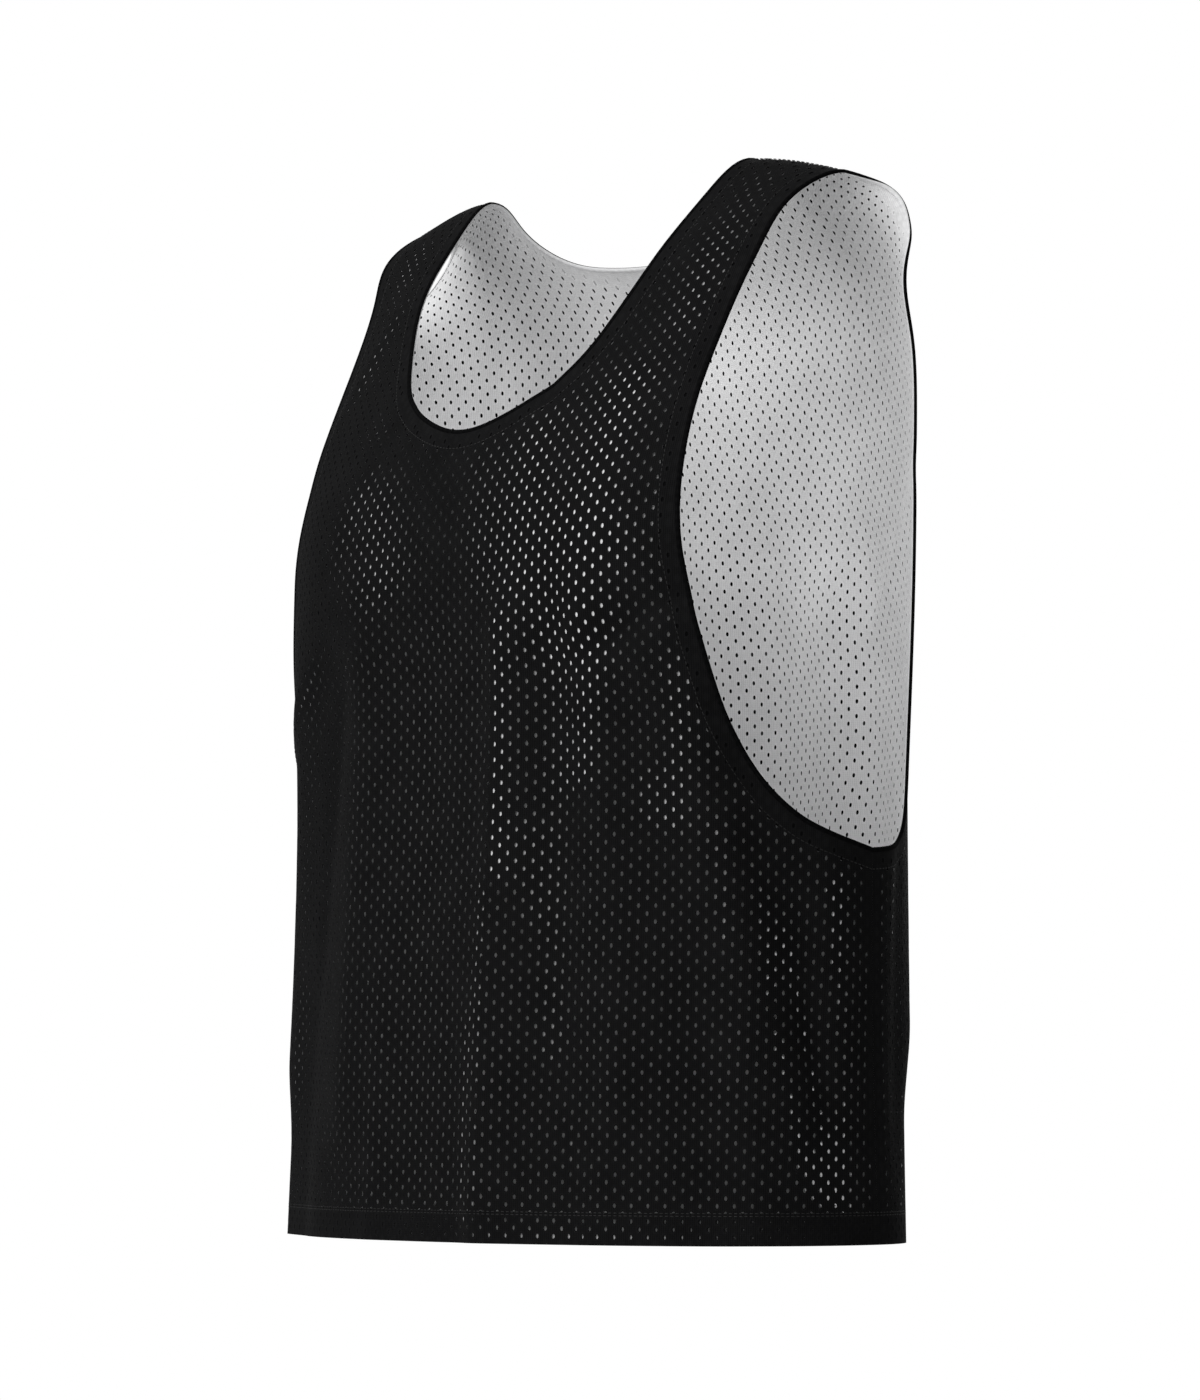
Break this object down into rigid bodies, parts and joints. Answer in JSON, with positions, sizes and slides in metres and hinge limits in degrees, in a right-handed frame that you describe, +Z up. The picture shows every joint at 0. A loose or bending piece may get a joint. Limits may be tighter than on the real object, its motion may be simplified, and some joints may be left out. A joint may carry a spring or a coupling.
{
  "type": "lacrosse pinnie",
  "caption": "Reversible two-layer mesh pinnie, worn and hollow, with a deep round neck, very deep armholes, turned edges and a straight hem.",
  "frame": {"origin": "the shoulders' mount: on the body's axis, level with the strap tops, where a wearer's shoulders carry the garment", "axes": "+X the wearer's left, -Y the front, +Z up"},
  "size_m": [0.4485, 0.2719, 0.6457],
  "materials": {
    "outer_mesh": "matt knit mesh, black",
    "reverse_mesh": "matt knit mesh, white",
    "turned_edge": "matt knit mesh turned under and topstitched, black"
  },
  "bodies": {
    "root": {"front_outer": "outer_mesh", "back_outer": "outer_mesh", "front_inner": "reverse_mesh", "back_inner": "reverse_mesh", "neck_edge": "turned_edge", "armhole_edge_left": "turned_edge", "armhole_edge_right": "turned_edge"}
  },
  "joints": []
}
